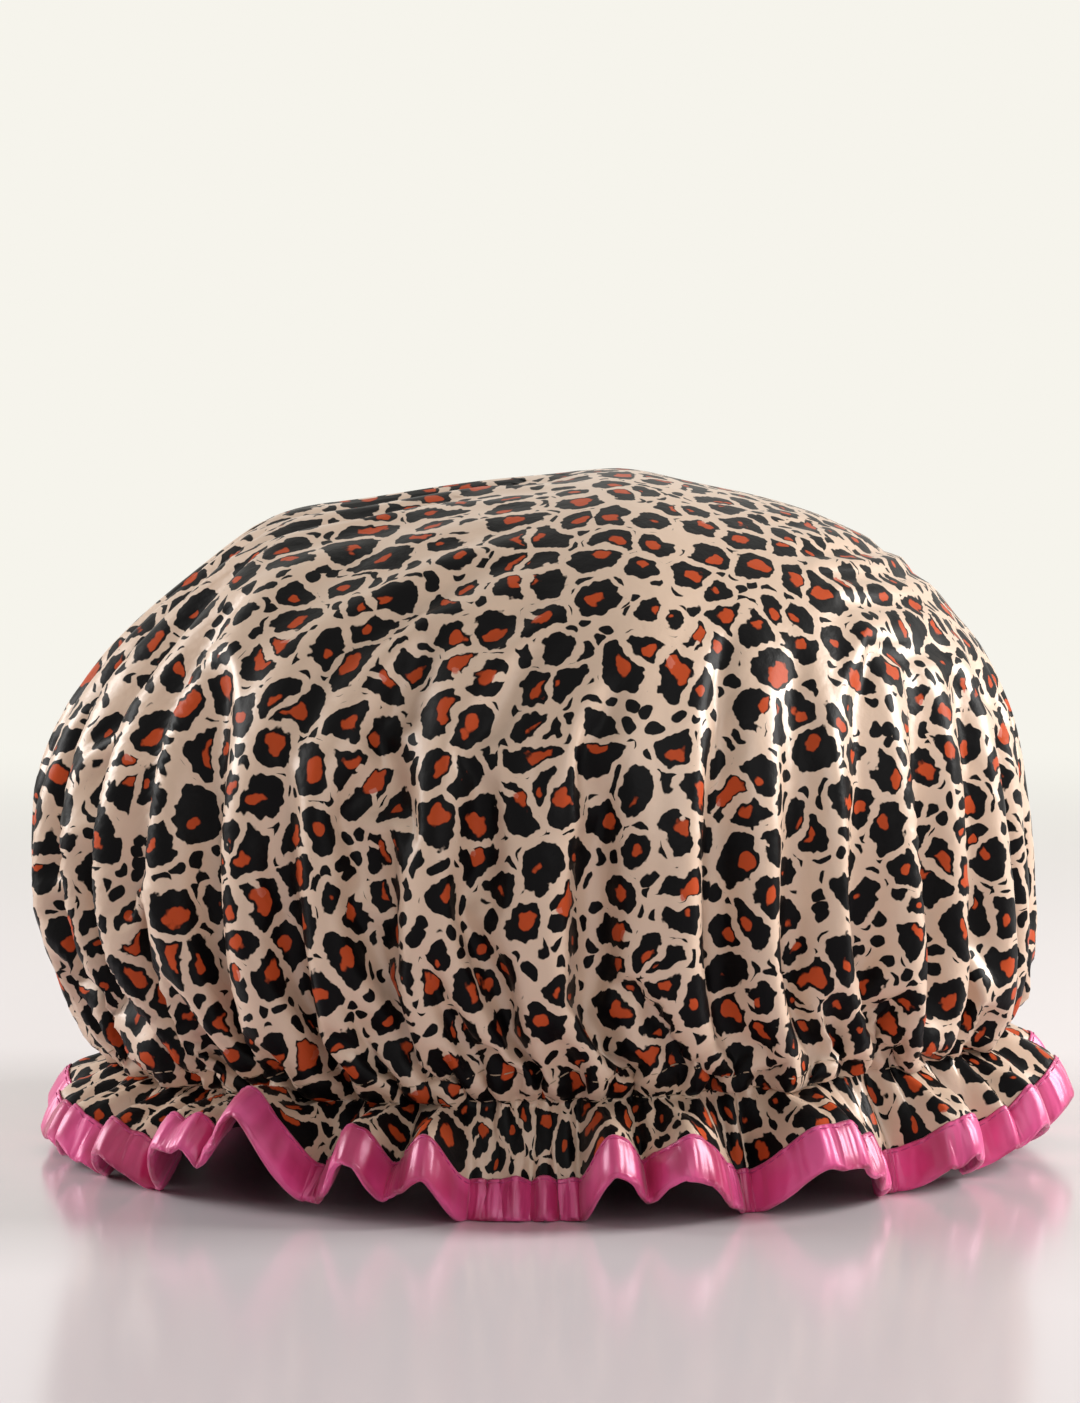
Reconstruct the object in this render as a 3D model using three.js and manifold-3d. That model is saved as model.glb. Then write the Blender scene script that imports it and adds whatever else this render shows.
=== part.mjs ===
// A double-layer bouffant shower cap, puffed out and standing on its hem.
// A satin disc and a waterproof film disc are sewn together along a gather line, with an elastic
// band in the channel just above it. Below that line both layers go on as a frill, and a folded
// satin tape binds their raw edges. Millimetres, +Z up, the table at z = 0, the front towards -Y.
import * as THREE from 'three';
import { mergeVertices } from 'three/addons/utils/BufferGeometryUtils.js';
import Module from 'manifold-3d';

// Crown
const crownWidth = 241; // side to side at the fullest level
const crownDepth = 235; // front to back at the fullest level
const crownRise = 135; // gather line up to the apex
const fullestRise = 47; // gather line up to the fullest level
const apexLean = 15; // how far the apex sits to the right of the middle
const neckWidth = 198; // across the gathered neck
const neckShiftShare = 0.302; // how far it sits to the right, share of the room beside it
const neckTilt = 3.5; // the neck stands this much higher at its right, lower at its left

// Layers
const satinThickness = 0.35;
const filmThickness = 0.2;
const layerGap = 0.3; // clearance between any two layers

// Folds of the crown
const pleatDepth = 3.6; // gather pleats stand out this far at the elastic
const pleatRise = 17; // height in which they fade
const foldDepth = 10; // deepest valley of the main folds
const swellHeight = 1.6; // the cloth swells out this far between the valleys
const shoulderPlace = -58; // the soft ridge over the left shoulder, left of the middle
const shoulderHalfWidth = 13;
const shoulderHeight = 6;
const apexPlace = 22; // the low ridge at the apex, right of the middle
const apexHalfWidth = 12;
const apexHeight = 2.7;

// Elastic band
const elasticWidth = 6;
const elasticThickness = 0.8;
const elasticLap = 22; // its ends are lapped this far and sewn
const elasticClearance = 1.9; // gather line up to its lower edge

// Frill and its binding
const frillLength = 27.5; // gather line to the hem, along the cloth
const bindingWidth = 9.5;
const bindingThickness = 0.35;
const bindingGap = 0.35; // from the cloth layers to the binding's walls
const hemCut = 0.5; // depth of the flat where the lowest waves rest
const sliver = 0.01; // edges shorter than this are merged where the flats are cut
const standShare = 0.8727; // height at which the frill holds the gather line, share of its length

// Waves of the frill, each [direction, height of the hem, crest or hollow], from the back by the
// left and the front. Directions are shares of a turn from the front, heights shares of the gather
// height; 1 marks a crest and 0 a hollow, and a hollow at height 0 rests on the table.
const waveShares = [
  [-0.495, 0.52, 1], [-0.473, 0, 0], [-0.452, 0.42, 1], [-0.431, 0.1, 0], [-0.408, 0.62, 1],
  [-0.383, 0, 0], [-0.36, 0.56, 1], [-0.335, 0, 0], [-0.312, 0.4, 1], [-0.29, 0.08, 0],
  [-0.266, 0.25, 1], [-0.244, 0.05, 0], [-0.221, 0.2, 1], [-0.203, 0.05, 0], [-0.188, 0.24, 1],
  [-0.172, 0.03, 0], [-0.156, 0.3, 1], [-0.139, 0, 0], [-0.12, 0.55, 1], [-0.106, 0.45, 0.6],
  [-0.091, 0.94, 1], [-0.074, 0.14, 0], [-0.056, 0.57, 1], [-0.05, 0.22, 0], [-0.038, 0.42, 0.9],
  [-0.027, 0, 0], [0.006, 0, 0], [0.015, 0.5, 1], [0.025, 0.25, 0], [0.035, 0.44, 1],
  [0.062, 0, 0], [0.079, 0.48, 1], [0.121, 0, 0], [0.14, 0.34, 1], [0.16, 0.07, 0],
  [0.183, 0.45, 1], [0.207, 0.12, 0], [0.236, 0.52, 1], [0.263, 0.15, 0], [0.286, 0.6, 1],
  [0.308, 0.1, 0], [0.331, 0.6, 1], [0.353, 0.16, 0], [0.375, 0.52, 1], [0.405, 0, 0],
  [0.435, 0.5, 1], [0.47, 0.12, 0],
];
const lobeShare = 0.14; // how far the flank of a wave swings out sideways, share of its width

// How much steeper the binding hangs than the cloth, in a hollow and on a crest, shares of a right
// angle.
const curlShares = [0.06, 0.5];

// Main valleys of the crown from the back by the left and the front, each [direction, depth, width,
// reach]: the direction and width as shares of a turn, the depth of foldDepth and the reach of
// crownRise.
const valleyShares = [
  [-0.488, 0.6, 0.013, 0.65], [-0.458, 1, 0.011, 0.65], [-0.428, 0.95, 0.009, 0.5],
  [-0.392, 1, 0.014, 0.6], [-0.361, 0.75, 0.008, 0.65], [-0.333, 1, 0.009, 0.6],
  [-0.305, 0.85, 0.009, 0.6], [-0.278, 1, 0.01, 0.6], [-0.248, 0.7, 0.013, 0.5],
  [-0.22, 0.95, 0.009, 0.65], [-0.191, 0.65, 0.012, 0.6], [-0.164, 0.85, 0.01, 0.65],
  [-0.135, 0.8, 0.008, 0.5], [-0.105, 0.85, 0.012, 0.7], [-0.076, 0.8, 0.009, 0.45],
  [-0.047, 1, 0.011, 0.75], [-0.014, 0.65, 0.012, 0.6], [0.022, 0.9, 0.01, 0.5],
  [0.058, 0.65, 0.009, 0.65], [0.084, 0.65, 0.009, 0.6], [0.11, 0.8, 0.01, 0.65],
  [0.142, 0.9, 0.012, 0.8], [0.17, 0.75, 0.009, 0.8], [0.198, 0.8, 0.009, 0.7],
  [0.226, 0.55, 0.012, 0.65], [0.258, 0.85, 0.01, 0.6], [0.289, 0.85, 0.013, 0.6],
  [0.321, 0.75, 0.009, 0.65], [0.354, 1, 0.011, 0.6], [0.388, 0.7, 0.01, 0.65],
  [0.417, 1, 0.011, 0.6], [0.447, 0.7, 0.01, 0.65], [0.478, 0.9, 0.012, 0.65],
];
const swellReach = 0.77; // that of the swells between them, share of crownRise

// Levels of the crown's rings above the elastic's channel: the lower ones as shares of the way from
// the gather line to the fullest level, the upper ones of the quarter turn from there to the apex.
const lowerLevelShares = [0.38, 0.7];
const upperLevelShares = [0, 0.19, 0.4, 0.62, 0.83];
const squareShare = 2.16; // exponent of the upper outline: 2 is an ellipse
const tuckShares = [2.4, 6]; // exponents of the lower outline, at the left and at the right
const crownSteps = 2; // stations from one wave mark to the next at the crown's cut edge
const frillSteps = 3; // and on the frill
const filmSteps = 52; // stations round the crown's film
const elasticSteps = 72; // stations in one turn of the elastic

const turn = 2 * Math.PI;
const neckRadius = neckWidth / 2;
const neckShift = neckShiftShare * (crownWidth / 2 - neckRadius);
const gatherHeight = frillLength * standShare; // gather line above the table
const fullestHeight = gatherHeight + fullestRise;
const topRise = crownRise - fullestRise;
const foldThickness = bindingThickness + hemCut; // at the hem's fold, so that a wall is left there
const channelTop = elasticClearance + elasticWidth + layerGap; // of the elastic's channel

const mix = (a, b, t) => a + (b - a) * t;
const ease = (t) => t * t * (3 - 2 * t);
const clamp = (value, low, high) => Math.min(high, Math.max(low, value));

// Distance between two directions, the short way round.
function apart(a, b) {
  return a - b - turn * Math.round((a - b) / turn);
}

// Stations along the waves: direction, hem height, crest share, and the side swing at the hem,
// which opens each crest into a lobe. The values run smoothly from one mark to the next.
function waveStations(steps) {
  return waveShares.flatMap(([from, height, crest], mark) => {
    const [next, nextHeight, nextCrest] = waveShares[(mark + 1) % waveShares.length];
    const to = next < from ? next + 1 : next;
    return Array.from({ length: steps }, (_, step) => {
      const along = step / steps;
      return {
        heading: mix(from, to, along) * turn,
        height: mix(height, nextHeight, ease(along)) * gatherHeight,
        crest: mix(crest, nextCrest, ease(along)),
        swing: (crest - nextCrest) * Math.sin(Math.PI * along) * (to - from) * turn * lobeShare,
      };
    });
  });
}

// How far a direction is on a crest of the waves, between two marks as at the stations.
function crestAt(heading) {
  const [first] = waveShares[0];
  const place = heading / turn - Math.floor(heading / turn - first);
  const mark = waveShares.findLastIndex(([from]) => from <= place);
  const [from, , crest] = waveShares[mark];
  const [next, , nextCrest] = waveShares[(mark + 1) % waveShares.length];
  const to = next < from ? next + 1 : next;
  return mix(crest, nextCrest, ease((place - from) / (to - from)));
}

// Stations on the valleys and on the swells midway between them.
function foldStations() {
  return valleyShares.flatMap(([from], valley) => {
    const [next] = valleyShares[(valley + 1) % valleyShares.length];
    const to = next < from ? next + 1 : next;
    return [from, (from + to) / 2].map((place) => {
      const heading = place * turn;
      return { heading, crest: crestAt(heading) };
    });
  });
}

// Stations at even steps, without pleats.
function evenStations(count) {
  return Array.from({ length: count }, (_, step) => ({ heading: (step / count) * turn, crest: 0 }));
}

// A closed ring: the place of each station.
function ring(stations, place) {
  return { headings: stations.map(({ heading }) => heading), points: stations.map(place) };
}

// Height of the tilted gather plane over a place.
function neckLevel(x) {
  return gatherHeight + (neckTilt * (x - neckShift)) / neckRadius;
}

// A point of the neck, some way out from the ring and up from the gather plane.
function neckPoint(heading, out, up) {
  const x = neckShift + (neckRadius + out) * Math.sin(heading);
  return new THREE.Vector3(x, -(neckRadius + out) * Math.cos(heading), neckLevel(x) + up);
}

// How far the main valleys draw the crown in at a direction and a rise above the gather line, less
// the swell between them: each is a bell across. Along it, it starts at the top of the elastic's
// channel, which holds the cloth out, peaks after a third of its reach and fades.
function valleyDepth(heading, rise) {
  const start = Math.max(0, rise - channelTop);
  const fading = (reach) => {
    const along = (3 * start) / (reach * crownRise);
    return along * Math.exp(1 - along);
  };
  return valleyShares.reduce((sum, [place, depth, width, reach]) => {
    const across = apart(heading, place * turn) / (width * turn);
    return sum + foldDepth * depth * Math.exp(-across * across) * fading(reach);
  }, -swellHeight * fading(swellReach));
}

// The soft ridges over the left shoulder and at the apex, as an outward rise. They run from front
// to back, and fade towards the back and down to the fullest level.
function ridgeOut(x, y, rise) {
  const bell = (place, halfWidth) => Math.exp(-(((x - place) / halfWidth) ** 2));
  const shoulder = shoulderHeight * bell(shoulderPlace, shoulderHalfWidth);
  const apex = apexHeight * bell(apexPlace, apexHalfWidth);
  const front = clamp((crownDepth / 2 - y) / (crownDepth / 2), 0, 1);
  const level = clamp((rise - fullestRise) / (topRise / 2), 0, 1);
  return (shoulder + apex) * ease(front) * ease(level);
}

// Below its fullest level the crown is drawn in to the neck by a power of the way down, sharply at
// the right, where the cloth hangs over. Pleats stand out from it and the valleys are pressed in.
function lowerPoint(station, share, inset, folded) {
  const { heading, crest } = station;
  const way = 1 - share;
  const right = Math.max(0, Math.sin(heading));
  const drawn = way ** mix(tuckShares[0], tuckShares[1], right * right);
  const rise = share * fullestRise;
  const pleat = folded ? pleatDepth * crest * Math.exp(-rise / pleatRise) : 0;
  const fold = folded ? valleyDepth(heading, rise) : 0;
  const out = pleat - fold - inset;
  const radiusX = mix(crownWidth / 2, neckRadius, drawn) + out;
  const radiusY = mix(crownDepth / 2, neckRadius, drawn) + out;
  const x = neckShift * drawn + radiusX * Math.sin(heading);
  const z = mix(neckLevel(neckShift + neckRadius * Math.sin(heading)), fullestHeight, share);
  return new THREE.Vector3(x, -radiusY * Math.cos(heading), z);
}

// Above it the outline is a superellipse whose middle leans towards the apex.
function upperPoint(station, share, inset, folded) {
  const { heading } = station;
  const angle = (share * Math.PI) / 2;
  const across = Math.cos(angle) ** (2 / squareShare);
  const up = Math.sin(angle) ** (2 / squareShare);
  const rise = fullestRise + topRise * up;
  const fold = folded ? valleyDepth(heading, rise) * across : 0;
  const lean = apexLean * up * up;
  const x = lean + ((crownWidth / 2 - inset) * across - fold) * Math.sin(heading);
  const y = -((crownDepth / 2 - inset) * across - fold) * Math.cos(heading);
  const out = folded ? ridgeOut(x, y, rise) : 0;
  const tip = (topRise - inset / 2) * up;
  return new THREE.Vector3(
    x + out * across * Math.sin(heading),
    y - out * across * Math.cos(heading),
    fullestHeight + tip + out * up,
  );
}

// A surface through closed rings, from the lowest to the highest. A pair of rings is joined in the
// order of the headings, which rise round each, and the last ring may be a single point. Its first
// ring, and its last if that is no point, are open edges.
function ringSurface(rings) {
  const starts = [];
  const points = [];
  for (const { points: more } of rings) {
    starts.push(points.length);
    points.push(...more);
  }
  const at = (list, i) => list[i % list.length] + turn * Math.floor(i / list.length);
  const middle = (list, i) => (at(list, i) + at(list, i + 1)) / 2;
  const faces = [];
  for (let level = 0; level + 1 < rings.length; level += 1) {
    const [low, high] = [rings[level].headings, rings[level + 1].headings];
    const lowAt = (i) => starts[level] + (i % low.length);
    const highAt = (i) => starts[level + 1] + (i % high.length);
    const highSteps = high.length > 1 ? high.length : 0;
    let [i, j] = [0, 0];
    while (i < low.length || j < highSteps) {
      if (j === highSteps || (i < low.length && middle(low, i) < middle(high, j))) {
        faces.push([lowAt(i), lowAt(i + 1), highAt(j)]);
        i += 1;
      } else {
        faces.push([lowAt(i), highAt(j + 1), highAt(j)]);
        j += 1;
      }
    }
  }
  const last = rings.length - 1;
  const loop = (level) => rings[level].points.map((_, i) => starts[level] + i);
  return { points, faces, bottom: loop(0), top: rings[last].points.length > 1 ? loop(last) : [] };
}

// The outward direction at each point: the mean of its faces' directions, stretched a little at a
// sharp fold so that a layer keeps its thickness. Along the gather line it lies level, so that the
// cut edges above and below the line stay parallel.
function outwards(surface, levelLoop) {
  const sums = surface.points.map(() => new THREE.Vector3());
  const normals = surface.faces.map(([a, b, c]) => {
    const ab = surface.points[b].clone().sub(surface.points[a]);
    const ac = surface.points[c].clone().sub(surface.points[a]);
    return ab.cross(ac).normalize();
  });
  surface.faces.forEach((face, i) => face.forEach((p) => sums[p].add(normals[i])));
  levelLoop.forEach((p) => sums[p].setZ(0));
  sums.forEach((sum) => sum.normalize());
  const fit = surface.points.map(() => 1);
  surface.faces.forEach((face, i) => {
    face.forEach((p) => {
      fit[p] = Math.min(fit[p], sums[p].dot(normals[i]));
    });
  });
  return sums.map((sum, p) => sum.multiplyScalar(1 / clamp((1 + fit[p]) / 2, 0.75, 1)));
}

// A geometry from points and triangles.
function geometryOf(points, faces) {
  const geometry = new THREE.BufferGeometry();
  const places = points.flatMap((p) => [p.x, p.y, p.z]);
  geometry.setAttribute('position', new THREE.Float32BufferAttribute(places, 3));
  geometry.setIndex(faces.flat());
  geometry.computeVertexNormals();
  return geometry;
}

// A layer of cloth: the surface moved out to one side and in to the other, joined at its edges.
function layer(surface, outer, inner, levelLoop) {
  const ways = outwards(surface, levelLoop);
  const count = surface.points.length;
  const moved = (far) => surface.points.map((p, i) => p.clone().addScaledVector(ways[i], far));
  const faces = surface.faces.flatMap(([a, b, c]) => [
    [a, b, c],
    [count + a, count + c, count + b],
  ]);
  surface.bottom.forEach((a, i) => {
    const b = surface.bottom[(i + 1) % surface.bottom.length];
    faces.push([a, count + a, count + b], [a, count + b, b]);
  });
  surface.top.forEach((a, i) => {
    const b = surface.top[(i + 1) % surface.top.length];
    faces.push([a, b, count + b], [a, count + b, count + a]);
  });
  return geometryOf([...moved(outer), ...moved(inner)], faces);
}

// A section carried along a path: each station holds the section's points in order, clockwise as
// seen by one who looks along the path. The path closes on itself or has flat ends. The sides named
// as falling are halved along their other diagonal.
function swept(sections, closed, falling = []) {
  const size = sections[0].length;
  const count = sections.length;
  const faces = [];
  for (let s = 0; s < (closed ? count : count - 1); s += 1) {
    const next = ((s + 1) % count) * size;
    for (let k = 0; k < size; k += 1) {
      const l = (k + 1) % size;
      const [a, b, c, d] = [s * size + k, s * size + l, next + l, next + k];
      faces.push(...(falling.includes(k) ? [[a, b, d], [b, c, d]] : [[a, b, c], [a, c, d]]));
    }
  }
  if (!closed) {
    const end = (count - 1) * size;
    for (let k = 1; k + 1 < size; k += 1) {
      faces.push([0, k + 1, k], [end, end + k, end + k + 1]);
    }
  }
  return geometryOf(sections.flat(), faces);
}

// Crown of satin: a pleated edge at the gather line, and above it rings with a station on each
// valley and each swell.
function crownSatin() {
  const folds = foldStations();
  const atEdge = ({ heading, crest }) => neckPoint(heading, pleatDepth * crest, layerGap / 2);
  const lower = [channelTop / fullestRise, ...lowerLevelShares];
  const rings = [
    ring(waveStations(crownSteps), atEdge),
    ...lower.map((share) => ring(folds, (s) => lowerPoint(s, share, 0, true))),
    ...upperLevelShares.map((share) => ring(folds, (s) => upperPoint(s, share, 0, true))),
    ring([{ heading: 0 }], (s) => upperPoint(s, 1, 0, false)),
  ];
  const surface = ringSurface(rings);
  return layer(surface, satinThickness / 2, -satinThickness / 2, surface.bottom);
}

// Crown of film: a smooth bag inside the satin's deepest folds. At the neck it leaves the seam,
// passes under the elastic and goes up behind it, which closes the elastic's channel.
function crownFilm() {
  const stations = evenStations(filmSteps);
  const inset = foldDepth + satinThickness + filmThickness + layerGap;
  const seam = -(satinThickness + layerGap);
  const behind = -(2 * elasticThickness + 4 * layerGap + filmThickness);
  const neckRings = [
    [seam, layerGap / 2],
    [behind, elasticClearance / 2],
    [behind, channelTop],
  ].map(([out, up]) => ring(stations, ({ heading }) => neckPoint(heading, out, up)));
  const rings = [
    ...neckRings,
    ...lowerLevelShares.map((share) => ring(stations, (s) => lowerPoint(s, share, inset, false))),
    ...upperLevelShares.map((share) => ring(stations, (s) => upperPoint(s, share, inset, false))),
    ring([{ heading: 0 }], (s) => upperPoint(s, 1, inset, false)),
  ];
  const surface = ringSurface(rings);
  return layer(surface, filmThickness / 2, -filmThickness / 2, surface.bottom);
}

// Middle surface of the frill, as three rings: the binding's fold line, its sewn edge and the
// gather line. Each thread line keeps its length. The cloth leaves the neck at a slant, the binding
// hangs steeper than it, most of all on the crests, and the slant is solved from the hem height.
function frillRings() {
  const clothLength = frillLength - bindingWidth;
  const stations = waveStations(frillSteps);
  const threads = stations.map(({ heading, height, crest, swing }) => {
    const top = neckPoint(heading, pleatDepth * crest, -layerGap / 2);
    const curl = (-mix(curlShares[0], curlShares[1], crest) * Math.PI) / 2;
    const reachX = clothLength + bindingWidth * Math.cos(curl);
    const reachY = bindingWidth * Math.sin(curl);
    const drop = (top.z - (height - hemCut)) / Math.hypot(reachX, reachY);
    const slant = Math.acos(clamp(drop, -1, 1)) - Math.atan2(reachY, reachX);
    const out = new THREE.Vector3(Math.sin(heading), -Math.cos(heading), 0);
    const side = new THREE.Vector3(Math.cos(heading), Math.sin(heading), 0);
    const along = (from, angle, length, sideways) =>
      from
        .clone()
        .addScaledVector(out, Math.sin(angle) * length)
        .addScaledVector(side, sideways)
        .setZ(from.z - Math.cos(angle) * length);
    const swung = (swing * neckRadius) / frillLength;
    const sewn = along(top, slant, clothLength, swung * clothLength);
    const fold = along(sewn, slant + curl, bindingWidth, swung * bindingWidth);
    return [fold, sewn, top];
  });
  return [0, 1, 2].map((level) => ring(stations, (_, i) => threads[i][level]));
}

// The two cloth layers of the frill end short of the binding's fold, clear of its wall.
function frillLayer(outer, inner) {
  const [fold, sewn, top] = frillRings();
  const short = (foldThickness + layerGap) / bindingWidth;
  const points = fold.points.map((p, i) => p.clone().lerp(sewn.points[i], short));
  const surface = ringSurface([{ ...fold, points }, sewn, top]);
  return layer(surface, outer, inner, surface.top);
}

// Binding: a tape folded over both edges, a channel of eight points carried along the hem, and cut
// flat where the lowest waves rest on the table. Its walls are halved as the cloth's faces are, so
// that they stay side by side where the frill twists.
function hemBinding() {
  const [fold, sewn, top] = frillRings();
  const surface = ringSurface([fold, sewn, top]);
  const ways = outwards(surface, surface.top);
  const count = fold.points.length;
  const satinSide = layerGap / 2 + satinThickness + bindingGap;
  const filmSide = -(layerGap / 2 + filmThickness + bindingGap);
  const wall = bindingThickness;
  const sections = fold.points.map((low, i) => {
    const high = sewn.points[i];
    const inside = low.clone().lerp(high, foldThickness / bindingWidth);
    const at = (point, level, far) => point.clone().addScaledVector(ways[level * count + i], far);
    return [
      at(high, 1, satinSide),
      at(high, 1, satinSide + wall),
      at(low, 0, satinSide),
      at(low, 0, filmSide),
      at(high, 1, filmSide - wall),
      at(high, 1, filmSide),
      at(inside, 0, filmSide + bindingGap / 3),
      at(inside, 0, satinSide - bindingGap / 3),
    ];
  });
  const falling = [1, 5];
  return cutFlat(swept(sections, true, falling));
}

// Elastic: a flat strip wound a little inwards, so that its end laps inside its start.
function elasticBand() {
  const outer = -(satinThickness / 2 + layerGap);
  const pitch = elasticThickness + layerGap;
  const lapTurn = elasticLap / neckRadius;
  const steps = Array.from({ length: elasticSteps + 1 }, (_, i) => (i / elasticSteps) * turn);
  const lapSteps = Math.max(1, Math.round((lapTurn / turn) * elasticSteps));
  const lap = Array.from({ length: lapSteps }, (_, i) => turn + (lapTurn * (i + 1)) / lapSteps);
  const sections = [...steps, ...lap].map((angle) => {
    const out = outer - (pitch * angle) / turn;
    const low = elasticClearance;
    const corners = [
      [out - elasticThickness, low],
      [out - elasticThickness, low + elasticWidth],
      [out, low + elasticWidth],
      [out, low],
    ];
    return corners.map(([far, up]) => neckPoint(angle + turn / 2, far, up));
  });
  return swept(sections, false);
}

const wasm = await Module();
wasm.setup();

// A solid for joining and cutting, from a closed geometry.
function solidOf(geometry) {
  const bare = geometry.clone();
  bare.deleteAttribute('normal');
  bare.deleteAttribute('uv');
  const merged = mergeVertices(bare);
  const vertProperties = new Float32Array(merged.attributes.position.array);
  const triVerts = new Uint32Array(merged.index.array);
  return new wasm.Manifold(new wasm.Mesh({ numProp: 3, vertProperties, triVerts }));
}

// What is left of a geometry above the table. The slivers that a cut leaves are merged away.
function cutFlat(geometry) {
  const below = new THREE.BoxGeometry(2 * crownWidth, 2 * crownWidth, frillLength);
  below.translate(0, 0, -frillLength / 2);
  const above = solidOf(geometry).subtract(solidOf(below)).simplify(sliver);
  const { vertProperties, triVerts } = above.getMesh();
  const left = new THREE.BufferGeometry();
  left.setAttribute('position', new THREE.Float32BufferAttribute(vertProperties, 3));
  left.setIndex(Array.from(triVerts));
  left.computeVertexNormals();
  return left;
}

// Materials
const satin = () => new THREE.MeshStandardMaterial({ color: 0xe3c7b0, roughness: 0.4, metalness: 0 });
const film = () => new THREE.MeshStandardMaterial({ color: 0x1d1214, roughness: 0.35, metalness: 0 });
const pink = () => new THREE.MeshStandardMaterial({ color: 0xdc6aa6, roughness: 0.38, metalness: 0 });
const rubber = () => new THREE.MeshStandardMaterial({ color: 0xf0ede6, roughness: 0.85, metalness: 0 });

const pieces = [
  ['crown_satin', crownSatin(), satin()],
  ['crown_film', crownFilm(), film()],
  ['elastic_band', elasticBand(), rubber()],
  ['frill_satin', frillLayer(layerGap / 2 + satinThickness, layerGap / 2), satin()],
  ['frill_film', frillLayer(-layerGap / 2, -layerGap / 2 - filmThickness), film()],
  ['hem_binding', hemBinding(), pink()],
];

const cap = new THREE.Group();
for (const [name, geometry, material] of pieces) {
  const mesh = new THREE.Mesh(geometry, material);
  mesh.name = name;
  cap.add(mesh);
}

// The cap stands over the origin: the middle of its box, side to side and front to back.
const middle = new THREE.Box3().setFromObject(cap).getCenter(new THREE.Vector3());
cap.position.set(-middle.x, -middle.y, 0);
cap.updateMatrixWorld(true);

export default cap;
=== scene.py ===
import math

import bpy
import numpy as np
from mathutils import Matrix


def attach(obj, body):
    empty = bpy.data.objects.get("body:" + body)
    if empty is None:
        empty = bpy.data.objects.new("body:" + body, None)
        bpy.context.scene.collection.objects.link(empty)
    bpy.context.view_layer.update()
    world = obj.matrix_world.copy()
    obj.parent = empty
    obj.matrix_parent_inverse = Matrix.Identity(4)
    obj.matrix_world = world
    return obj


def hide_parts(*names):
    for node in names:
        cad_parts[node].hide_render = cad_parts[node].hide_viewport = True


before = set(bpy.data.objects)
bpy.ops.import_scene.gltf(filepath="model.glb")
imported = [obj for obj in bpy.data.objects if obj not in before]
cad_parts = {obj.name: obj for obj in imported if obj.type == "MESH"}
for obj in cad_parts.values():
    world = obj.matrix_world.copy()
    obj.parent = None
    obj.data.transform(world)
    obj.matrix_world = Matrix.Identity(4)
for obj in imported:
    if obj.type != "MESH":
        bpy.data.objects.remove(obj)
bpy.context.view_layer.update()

# Camera. It stands about a metre in front of the cap, a little above its middle, and looks down
# at it very slightly. The focal length is given against the height of the picture.
camera_distance = 0.95
camera_elevation = math.radians(4.5)
camera_target_height = 0.080
camera_pitch = math.radians(2.97)
camera_side = -0.0028
sensor_height_mm = 36
focal_length_mm = 101.1

camera_data = bpy.data.cameras.new("camera")
camera_data.sensor_fit = "VERTICAL"
camera_data.sensor_height = sensor_height_mm
camera_data.lens = focal_length_mm
camera = bpy.data.objects.new("camera", camera_data)
bpy.context.scene.collection.objects.link(camera)
camera.location = (
    camera_side,
    -camera_distance * math.cos(camera_elevation),
    camera_target_height + camera_distance * math.sin(camera_elevation),
)
camera.rotation_euler = (math.pi / 2 - camera_pitch, 0, 0)
bpy.context.scene.camera = camera

# Satin disc. The outside of the cap is one round piece of printed polyester satin. A gather line
# sewn a little way in from its edge parts it into the crown above and the frill below, and the
# elastic inside holds that line to less than half of its cut length.
crown_width = 0.241
crown_depth = 0.235
crown_rise = 0.135
fullest_rise = 0.047
apex_lean = 0.015
neck_radius = 0.099
neck_shift = 0.006493
neck_tilt = 0.0035
gather_height = 0.024
channel_top = 0.0082
square = 2.16  # power of the outline above the fullest line, 2 for an ellipse
tuck_left, tuck_right, tuck_mean = 2.4, 6, 3.3  # powers of the outline below it
frill_length = 0.0275
binding_width = 0.0095
gather_flat = 0.2203
hem_flat = gather_flat + frill_length
edge_flat = hem_flat - 0.0008  # the cloth's raw edge, inside the fold of the binding
layer_gap = 0.0003
satin_thickness = 0.00025
top_rise = crown_rise - fullest_rise
fullest_height = gather_height + fullest_rise
mean_radius = (crown_width + crown_depth) / 4
turn = 2 * math.pi

# Relief of the crown: the heights of its folds, ridges, gathers and creases, where they begin, and
# the lengths over which they grow or fade.
pleat_depth, pleat_rise = 0.0036, 0.017
fold_depth, fold_scale = 0.010, 3
swell_height, swell_reach = 0.0016, 0.77
shoulder_place, shoulder_half_width, shoulder_height = -0.058, 0.013, 0.006
apex_place, apex_half_width, apex_height = 0.022, 0.012, 0.0027
puff_count, puff_height, puff_fade = 62, 0.0021, 0.009
puff_drift, puff_variety, puff_middle = 0.9, 0.45, 0.5
gather_ripple, gather_place, gather_fade = 0.0019, 0.006, 0.022
crease_start, crease_growth, crease_end, crease_fade = 0.004, 0.02, 0.115, 0.08
air_room, air_start, air_growth, air_fade = 0.0024, 0.3, 0.6, 0.5

# Relief of the frill, in shares of its length and of the width of a wave.
lobe = 0.14
curl_low, curl_high = 0.06, 0.5
curl_start, curl_growth, curl_steps = 0.45, 0.4, 40
hollow_rest = 0.16  # share of the way to a crest over which a hollow stays level
frill_gather_fade, frill_crease_growth, lean_growth = 0.55, 0.5, 0.2

# Where the satin would reach below this height it is pressed flat, with a soft bend.
satin_low, press_round = 0.0012, 0.0005

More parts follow.
